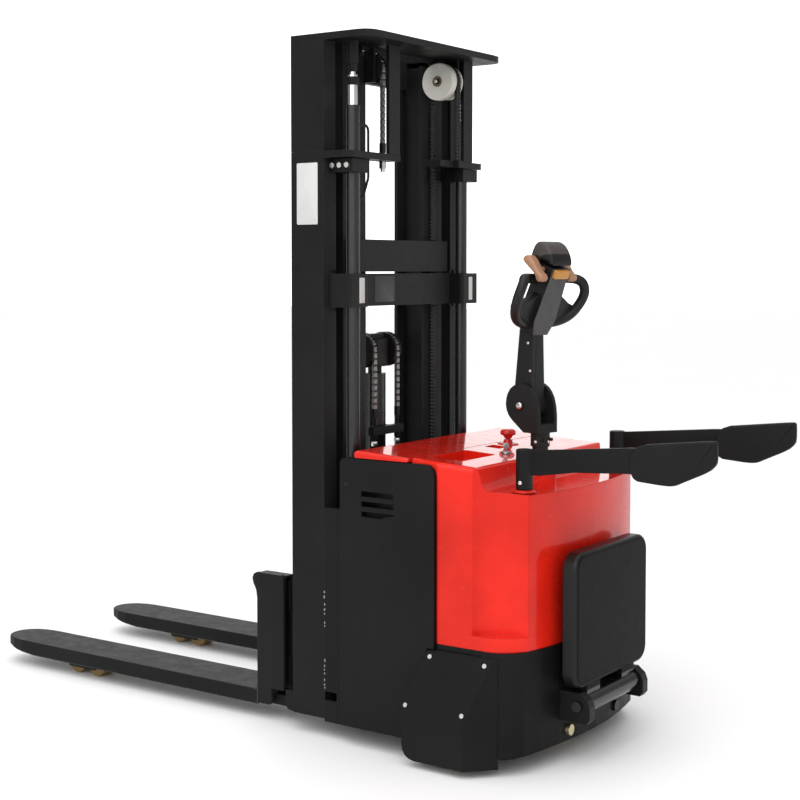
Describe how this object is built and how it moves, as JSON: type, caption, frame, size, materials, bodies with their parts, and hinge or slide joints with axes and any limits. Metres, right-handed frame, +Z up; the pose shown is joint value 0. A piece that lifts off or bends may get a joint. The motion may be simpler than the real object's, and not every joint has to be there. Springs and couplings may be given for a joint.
{
  "type": "electric stacker",
  "caption": "Ride-on electric stacker: mast with telescoping stages and free lift, forks over straddle legs, red battery hood, tiller steering, folding step and swing-out guard arms",
  "frame": {"origin": "on the floor under the middle of the machine's bounding box", "axes": "+X towards the fork tips, +Y to the machine's left, +Z up"},
  "size_m": [2.725, 0.92, 2.112],
  "materials": {
    "mast_black": "satin black powder coat",
    "fork_grey": "dark grey powder coat, worn on top",
    "roller_steel": "bright turned steel",
    "rod_chrome": "hard chrome",
    "chain_steel": "oiled leaf chain",
    "hose_rubber": "hose in a spiral guard",
    "pulley_black": "dark nylon",
    "pulley_nylon": "off-white nylon",
    "hood_red": "glossy red",
    "battery_case": "ribbed case",
    "motor_cast": "painted castings",
    "controller_alu": "finned aluminium",
    "fitting_black": "moulded fittings",
    "stop_red": "red mushroom head",
    "arm_black": "black bar with a soft pad",
    "platform_black": "black moulded tread",
    "wheel_pu": "amber polyurethane tread",
    "tiller_black": "satin black",
    "tiller_grey": "grey moulding with black grips",
    "belly_brown": "dark brown-grey cap",
    "throttle_tan": "tan rocker",
    "button_orange": "orange key"
  },
  "bodies": {
    "chassis": {"outer_mast": "mast_black", "base_frame": "mast_black", "straddle_legs": "mast_black", "lift_barrels": "mast_black", "lift_chain_rear": "chain_steel", "hose_rear": "hose_rubber", "hood": "hood_red", "side_panels": "mast_black", "caster_covers": "mast_black", "battery": "battery_case", "pump_unit": "motor_cast", "controller": "controller_alu", "panel_fittings": "fitting_black", "arm_sockets": "mast_black", "platform_brackets": "mast_black", "chassis_fasteners": "roller_steel", "cylinder_clamps": "mast_black", "cylinder_hose": "hose_rubber"},
    "middle_stage": {"middle_mast": "mast_black", "middle_rollers": "roller_steel", "mast_head": "mast_black", "lift_rods": "rod_chrome", "lift_chain_top": "chain_steel", "hose_top": "hose_rubber"},
    "inner_stage": {"inner_mast": "mast_black", "inner_rollers": "roller_steel", "free_lift_barrel": "mast_black", "chain_anchors": "mast_black", "lift_chain_front": "chain_steel", "hose_front": "hose_rubber", "free_chain_rear": "chain_steel"},
    "free_lift_head": {"crosshead": "mast_black", "free_chain_top": "chain_steel"},
    "free_lift_sheaves": {"crosshead_pulleys": "mast_black"},
    "fork_carriage": {"carriage": "mast_black", "forks": "fork_grey", "free_chain_front": "chain_steel"},
    "steer": {"drive_unit": "motor_cast", "steer_column": "mast_black"},
    "tiller": {"tiller_arm": "tiller_black", "tiller_head": "tiller_grey"},
    "chain_pulley_body": {"chain_pulley": "pulley_black"},
    "hose_pulley_body": {"hose_pulley": "pulley_nylon"},
    "battery_lid_body": {"battery_lid": "hood_red"},
    "estop_button_body": {"estop_button": "stop_red"},
    "guard_arm_left_body": {"guard_arm_left": "arm_black"},
    "guard_arm_right_body": {"guard_arm_right": "arm_black"},
    "platform_body": {"platform": "platform_black"},
    "drive_wheel_body": {"drive_wheel": "wheel_pu"},
    "belly_button_body": {"belly_button": "belly_brown"},
    "throttle_body": {"throttle": "throttle_tan"},
    "lift_button_body": {"lift_button": "button_orange"},
    "caster_fork_left_body": {"caster_fork_left": "mast_black"},
    "caster_fork_right_body": {"caster_fork_right": "mast_black"},
    "caster_wheel_left_body": {"caster_wheel_left": "wheel_pu"},
    "caster_wheel_right_body": {"caster_wheel_right": "wheel_pu"},
    "load_wheel_front_left_body": {"load_wheel_front_left": "wheel_pu"},
    "load_wheel_front_right_body": {"load_wheel_front_right": "wheel_pu"},
    "load_wheel_rear_left_body": {"load_wheel_rear_left": "wheel_pu"},
    "load_wheel_rear_right_body": {"load_wheel_rear_right": "wheel_pu"}
  },
  "joints": [
    {"name": "middle_lift", "type": "slide", "parent": "chassis", "child": "middle_stage", "axis": [0, 0, 1], "range_m": [0, 1.3], "deforming": ["lift_chain_rear", "hose_rear"]},
    {"name": "inner_lift", "type": "slide", "parent": "middle_stage", "child": "inner_stage", "axis": [0, 0, 1], "range_m": [0, 1.3], "deforming": ["lift_chain_front", "hose_front"]},
    {"name": "free_lift", "type": "slide", "parent": "inner_stage", "child": "free_lift_head", "axis": [0, 0, 1], "range_m": [0, 0.7], "deforming": ["free_chain_rear"]},
    {"name": "carriage_lift", "type": "slide", "parent": "free_lift_head", "child": "fork_carriage", "axis": [0, 0, 1], "range_m": [0, 0.7], "deforming": ["free_chain_front"]},
    {"name": "chain_pulley_spin", "type": "hinge", "parent": "middle_stage", "child": "chain_pulley_body", "pos_m": [-0.1595, 0.144, 2.03], "axis": [0, 1, 0], "continuous": true},
    {"name": "hose_pulley_spin", "type": "hinge", "parent": "middle_stage", "child": "hose_pulley_body", "pos_m": [-0.2065, -0.18, 2.018], "axis": [0, 1, 0], "continuous": true},
    {"name": "free_lift_sheave_spin", "type": "hinge", "parent": "free_lift_head", "child": "free_lift_sheaves", "pos_m": [-0.0595, 0, 1.154], "axis": [0, 1, 0], "continuous": true},
    {"name": "steering", "type": "hinge", "parent": "chassis", "child": "steer", "pos_m": [-0.6765, 0, 0.4], "axis": [0, 0, 1], "range_deg": [-78, 102]},
    {"name": "drive_wheel_roll", "type": "hinge", "parent": "steer", "child": "drive_wheel_body", "pos_m": [-0.6765, 0, 0.115], "axis": [0.2079, 0.9781, 0], "continuous": true},
    {"name": "tiller_tilt", "type": "hinge", "parent": "steer", "child": "tiller", "pos_m": [-0.63542, -0.00873, 1.005], "axis": [-0.2079, -0.9781, 0], "range_deg": [0, 75], "stiffness_Nm_per_rad": 26, "springref_deg": -28.65},
    {"name": "belly_press", "type": "slide", "parent": "tiller", "child": "belly_button_body", "axis": [0.3822, -0.0812, -0.9205], "range_m": [0, 0.006], "stiffness_N_per_m": 900, "springref_m": -0.003},
    {"name": "throttle_turn", "type": "hinge", "parent": "tiller", "child": "throttle_body", "pos_m": [-0.71819, 0.00886, 1.41445], "axis": [0.2079, 0.9781, 0], "range_deg": [-15, 15], "stiffness_Nm_per_rad": 0.6},
    {"name": "lift_button_press", "type": "slide", "parent": "tiller", "child": "lift_button_body", "axis": [0.9004, -0.1914, 0.3907], "range_m": [0, 0.004], "stiffness_N_per_m": 700, "springref_m": -0.002},
    {"name": "stop_press", "type": "slide", "parent": "chassis", "child": "estop_button_body", "axis": [0, 0, -1], "range_m": [0, 0.006]},
    {"name": "lid_open", "type": "hinge", "parent": "chassis", "child": "battery_lid_body", "pos_m": [-0.4675, 0, 0.8711], "axis": [0, -1, 0], "range_deg": [0, 75]},
    {"name": "guard_left_swing", "type": "hinge", "parent": "chassis", "child": "guard_arm_left_body", "pos_m": [-0.7885, 0.288, 0.85], "axis": [0, 0, -1], "range_deg": [0, 90]},
    {"name": "guard_right_swing", "type": "hinge", "parent": "chassis", "child": "guard_arm_right_body", "pos_m": [-0.7885, -0.288, 0.85], "axis": [0, 0, 1], "range_deg": [0, 90]},
    {"name": "platform_fold", "type": "hinge", "parent": "chassis", "child": "platform_body", "pos_m": [-0.9065, 0, 0.176], "axis": [0, -1, 0], "range_deg": [0, 90], "stiffness_Nm_per_rad": 18, "springref_deg": -17.19},
    {"name": "caster_swivel_left", "type": "hinge", "parent": "chassis", "child": "caster_fork_left_body", "pos_m": [-0.5865, 0.372, 0.13], "axis": [0, 0, 1], "continuous": true},
    {"name": "caster_roll_left", "type": "hinge", "parent": "caster_fork_left_body", "child": "caster_wheel_left_body", "pos_m": [-0.6065, 0.372, 0.05], "axis": [0, 1, 0], "continuous": true},
    {"name": "load_roll_rear_left", "type": "hinge", "parent": "chassis", "child": "load_wheel_rear_left_body", "pos_m": [0.9155, 0.257, 0.039], "axis": [0, 1, 0], "continuous": true},
    {"name": "load_roll_front_left", "type": "hinge", "parent": "chassis", "child": "load_wheel_front_left_body", "pos_m": [1.0115, 0.257, 0.039], "axis": [0, 1, 0], "continuous": true},
    {"name": "caster_swivel_right", "type": "hinge", "parent": "chassis", "child": "caster_fork_right_body", "pos_m": [-0.5865, -0.372, 0.13], "axis": [0, 0, 1], "continuous": true},
    {"name": "caster_roll_right", "type": "hinge", "parent": "caster_fork_right_body", "child": "caster_wheel_right_body", "pos_m": [-0.6065, -0.372, 0.05], "axis": [0, 1, 0], "continuous": true},
    {"name": "load_roll_rear_right", "type": "hinge", "parent": "chassis", "child": "load_wheel_rear_right_body", "pos_m": [0.9155, -0.257, 0.039], "axis": [0, 1, 0], "continuous": true},
    {"name": "load_roll_front_right", "type": "hinge", "parent": "chassis", "child": "load_wheel_front_right_body", "pos_m": [1.0115, -0.257, 0.039], "axis": [0, 1, 0], "continuous": true}
  ],
  "couplings": [
    {"joint": "inner_lift", "follows": "middle_lift", "ratio": 1},
    {"joint": "chain_pulley_spin", "follows": "middle_lift", "rad_per_m": -25},
    {"joint": "hose_pulley_spin", "follows": "middle_lift", "rad_per_m": -20.408},
    {"joint": "carriage_lift", "follows": "free_lift", "ratio": 1},
    {"joint": "free_lift_sheave_spin", "follows": "free_lift", "rad_per_m": -20}
  ]
}
